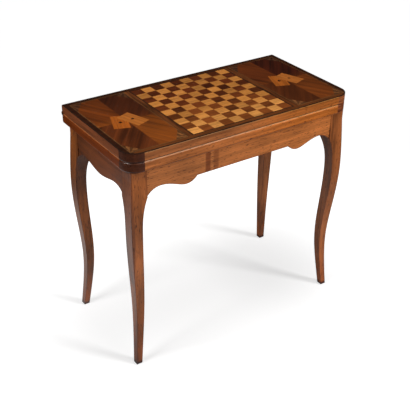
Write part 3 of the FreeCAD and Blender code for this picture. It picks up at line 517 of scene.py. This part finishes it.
print("panels clothed:", len(QUARTERS), "pairs of quarters and", 2 * len(CARDS), "cards")

# %% [markdown]
# Thin strips part the fields of the top: brown banding along its edges, two broad bands
# beside the board, dark lines round the board and the edge, and pale stringing round the
# panels. Each is its own strip of wood in the CAD model, so a plain small-grained wood is
# enough. Painted shade darkens the banding along the back and the ends, the left end most.

# %% Bands and lines
# Painted shade: the banding is darkened behind its front strip, and more at the left end.
PAINTED_SHADE_BANDING_BACK = ("Y", -186, 300, 2, "#A39CA4")
PAINTED_SHADE_BANDING_LEFT = ("X", -500, -380, 2, "#CBC6D0")
DIVIDER_RIGHT = ("X", 150, 500, 10, "#F4EEE5")
clothe(wood("brown banding", "#653615", ALONG_X, spread=0.6,
            marks=[PAINTED_SHADE_BANDING_BACK, PAINTED_SHADE_BANDING_LEFT], **SMALL), "outer_banding")
clothe(wood("dark lines", "#2C180E", ALONG_X, **SMALL), "board_frame", "edge_line")
clothe(wood("brown divider bands", "#643617", ALONG_Y, spread=0.95, marks=[DIVIDER_RIGHT],
            **SMALL), "divider_bands")
clothe(wood("thin pale stringing", "#7A5430", ALONG_X, **SMALL), "panel_stringing")
print("bands and lines clothed")

# %% [markdown]
# The hinges are wrought iron that was blackened in hot oil, so they are nearly black, with a
# forged grit and only part of a metal's gleam. The screws are dull turned steel. One recipe
# serves both: a noise of the grit's size moves colour, roughness and a small bump together,
# because on such metal a raised speck differs from a pit in all three.

# %% Iron and steel
GRIT_STOPS = (0.3, 0.7)
GRIT_SWING = (-0.1, 0.12)
GRIT_RELIEF = 0.3
GRIT_DEPTH = 0.3 * MM


def metal(name, codes, roughness, grit_mm, metallic):
    """Forged or turned metal between two hex colours, with a grit of its own roughness."""
    material, tree, surface = new_material(name)
    place = add(tree, "TexCoord").outputs["Object"]
    grit = add(tree, "TexNoise", {"Vector": place, "Scale": 1 / (grit_mm * MM),
                                  "Detail": 3.0}).outputs["Fac"]
    stops = [(stop, linear(code)) for stop, code in zip(GRIT_STOPS, codes)]
    tint = add(tree, "ValToRGB", {"Fac": grit}, stops=stops).outputs["Color"]
    rough = add(tree, "MapRange", {"Value": grit, "To Min": roughness + GRIT_SWING[0],
                                   "To Max": roughness + GRIT_SWING[1]}).outputs["Result"]
    bump = add(tree, "Bump", {"Height": grit, "Strength": GRIT_RELIEF,
                              "Distance": GRIT_DEPTH}).outputs["Normal"]
    finish = add(tree, "BsdfPrincipled", {"Base Color": tint, "Metallic": metallic,
                                          "Roughness": rough, "Normal": bump})
    tree.links.new(finish.outputs["BSDF"], surface)
    return material


iron = metal("blackened wrought iron", ("#161412", "#2A2622"), roughness=0.5, grit_mm=4,
             metallic=0.6)
steel = metal("dull screw steel", ("#6E6A64", "#8A857C"), roughness=0.4, grit_mm=2,
              metallic=1.0)
clothe(iron, "left_hinge_lower", "right_hinge_lower", "left_hinge_upper", "right_hinge_upper",
       "hinge_pins", "gate_pin")
print("hinges and pins clothed in", iron.name)

# %% [markdown]
# The screws have one straight slot each, as hand-made ones do. A slot is too small for the
# CAD model, so each group of screws is copied here, its loose triangles are merged, and a
# thin bar is cut out of every head with a Boolean modifier.

# %% Slotted screws
SLOT_WIDTH = 1.0 * MM
SLOT_DEPTH = 1.0 * MM
SLOT_OVERSHOOT = 1.2
WELD_DISTANCE = 0.01 * MM
Y_AXIS = 1
Z_AXIS = 2


def islands(mesh):
    """Vertex groups of a mesh that hang together."""
    parent = list(range(len(mesh.vertices)))

    def root(i):
        while parent[i] != i:
            parent[i] = parent[parent[i]]
            i = parent[i]
        return i

    for edge in mesh.edges:
        parent[root(edge.vertices[0])] = root(edge.vertices[1])
    found = {}
    for vertex in mesh.vertices:
        found.setdefault(root(vertex.index), []).append(vertex.co.copy())
    return list(found.values())


def merged_copy(name, source):
    """Copy of a CAD node's mesh as one welded piece."""
    bpy.ops.object.select_all(action="DESELECT")
    piece = bpy.data.objects.new(name, nodes[source].data.copy())
    bpy.context.scene.collection.objects.link(piece)
    bpy.context.view_layer.objects.active = piece
    piece.select_set(True)
    bpy.ops.object.mode_set(mode="EDIT")
    bpy.ops.mesh.select_all(action="SELECT")
    bpy.ops.mesh.remove_doubles(threshold=WELD_DISTANCE)
    bpy.ops.object.mode_set(mode="OBJECT")
    return piece


def slotted_screws(name, source, body, axis, outward):
    """Screws of one group with a slot in every head; axis and outward say how they face."""
    piece = merged_copy(name, source)
    bars = []
    for points in islands(piece.data):
        low = Vector(min(p[i] for p in points) for i in range(3))
        high = Vector(max(p[i] for p in points) for i in range(3))
        middle = (low + high) / 2
        middle[axis] = high[axis] if outward > 0 else low[axis]
        size = Vector(((high.x - low.x) * SLOT_OVERSHOOT, SLOT_WIDTH, SLOT_WIDTH))
        size[axis] = 2 * SLOT_DEPTH
        bpy.ops.object.select_all(action="DESELECT")
        bpy.ops.mesh.primitive_cube_add(size=1, location=middle, scale=size)
        bpy.ops.object.transform_apply(location=True, rotation=True, scale=True)
        bars.append(bpy.context.object)
    for bar in bars:
        bar.select_set(True)
    bpy.ops.object.join()
    cutter = bpy.context.object
    bpy.context.view_layer.objects.active = piece
    cutting = piece.modifiers.new("slots", "BOOLEAN")
    cutting.object = cutter
    cutting.solver = "EXACT"
    bpy.ops.object.modifier_apply(modifier=cutting.name)
    bpy.data.objects.remove(cutter)
    piece.data.materials.clear()
    piece.data.materials.append(steel)
    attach(piece, body)
    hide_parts(source)
    print(name, len(bars), "screws", len(piece.data.polygons), "faces")


slotted_screws("slotted_upper_hinge_screws", "upper_hinge_screws", "upper_leaf", Y_AXIS, 1)
slotted_screws("slotted_lower_hinge_screws", "lower_hinge_screws", "frame", Y_AXIS, 1)
slotted_screws("slotted_rail_screws", "rail_screws", "frame", Y_AXIS, -1)
slotted_screws("slotted_top_screws", "top_screws", "frame", Z_AXIS, -1)

# %% [markdown]
# Baize is a woollen cloth, fulled and shorn until no weave shows, only a short matt nap with
# a little sheen. Its nap is finer than a pixel, so it is drawn several times as coarse, as a
# mottle over broader patches of wear.

# %% Baize cloth
NAP_MM = 1.6
NAP_RELIEF = 0.6
NAP_DEPTH = 0.6 * MM
WEAR_MM = 111.1
WEAR_SHARE = 0.45
WOOL_ROUGHNESS = 0.95
WOOL_IOR = 1.5
SHEEN = 0.3
SHEEN_ROUGHNESS = 0.5
GREEN = [(0.3, "#1F4A2C"), (0.55, "#2A5C38"), (0.8, "#356A44")]

cloth, tree, surface = new_material("green wool baize")
place = add(tree, "TexCoord").outputs["Object"]
nap = add(tree, "TexNoise", {"Vector": place, "Scale": 1 / (NAP_MM * MM), "Detail": 4.0,
                             "Roughness": 0.7}).outputs["Fac"]
wear = add(tree, "TexNoise", {"Vector": place, "Scale": 1 / (WEAR_MM * MM),
                              "Detail": 3.0}).outputs["Fac"]
mottle = add(tree, "Mix", {"Factor": WEAR_SHARE, "A": nap, "B": wear}).outputs["Result"]
colour = add(tree, "ValToRGB", {"Fac": mottle},
             stops=[(stop, linear(code)) for stop, code in GREEN]).outputs["Color"]
bump = add(tree, "Bump", {"Height": nap, "Strength": NAP_RELIEF,
                          "Distance": NAP_DEPTH}).outputs["Normal"]
felt = add(tree, "BsdfPrincipled", {"Base Color": colour, "Roughness": WOOL_ROUGHNESS,
                                    "IOR": WOOL_IOR, "Sheen Weight": SHEEN,
                                    "Sheen Roughness": SHEEN_ROUGHNESS, "Normal": bump})
tree.links.new(felt.outputs["BSDF"], surface)
print("baize nap drawn at", NAP_MM, "mm")

# %% [markdown]
# The baize is cut to the recess in each leaf, glued down flat and pressed. A cloth simulation
# would have nothing to drape, so each sheet is laid as a plane at its cut size, with the
# faint waves of the glue under it, and given its thickness with Solidify.

# %% Baize sheets
CUTS = 48
WAVE_HEIGHT = 0.12 * MM
# Share of a wave by which the sheet lies deeper in its recess.
SINK = 0.5
# Radians per metre: the waves are about 165 and 190 mm long, and wander over 300 mm.
WAVE_RATE_X = 38
WAVE_RATE_Y = 33
WANDER_RATE = 21
WANDER = 2
FLAT_EDGE = 30 * MM


def lay_baize(name, source, body, up):
    """One sheet in its recess; up says which way its nap faces."""
    low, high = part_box(source)
    width, length, thickness = high - low
    bpy.ops.object.select_all(action="DESELECT")
    bpy.ops.mesh.primitive_plane_add(size=1, location=(low + high) / 2)
    piece = bpy.context.object
    piece.name = name
    piece.scale = (width, length, 1)
    bpy.ops.object.transform_apply(location=True, rotation=True, scale=True)
    bpy.ops.object.mode_set(mode="EDIT")
    bpy.ops.mesh.subdivide(number_cuts=CUTS)
    bpy.ops.object.mode_set(mode="OBJECT")
    for vertex in piece.data.vertices:
        x, y = vertex.co.xy
        inside = min(x - low.x, high.x - x, y - low.y, high.y - y)
        wave = math.sin(x * WAVE_RATE_X + WANDER * math.sin(y * WANDER_RATE))
        wave *= math.cos(y * WAVE_RATE_Y) * min(1, inside / FLAT_EDGE)
        vertex.co.z += WAVE_HEIGHT * (wave - up * SINK)
    thick = piece.modifiers.new("thickness", "SOLIDIFY")
    thick.thickness = thickness - 2 * WAVE_HEIGHT
    thick.offset = 0
    bpy.ops.object.modifier_apply(modifier=thick.name)
    piece.data.materials.append(cloth)
    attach(piece, body)
    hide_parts(source)
    print(name, round(width, 4), "by", round(length, 4), "m")


lay_baize("baize_on_lower_leaf", "lower_baize", "frame", 1)
lay_baize("baize_on_upper_leaf", "upper_baize", "upper_leaf", -1)
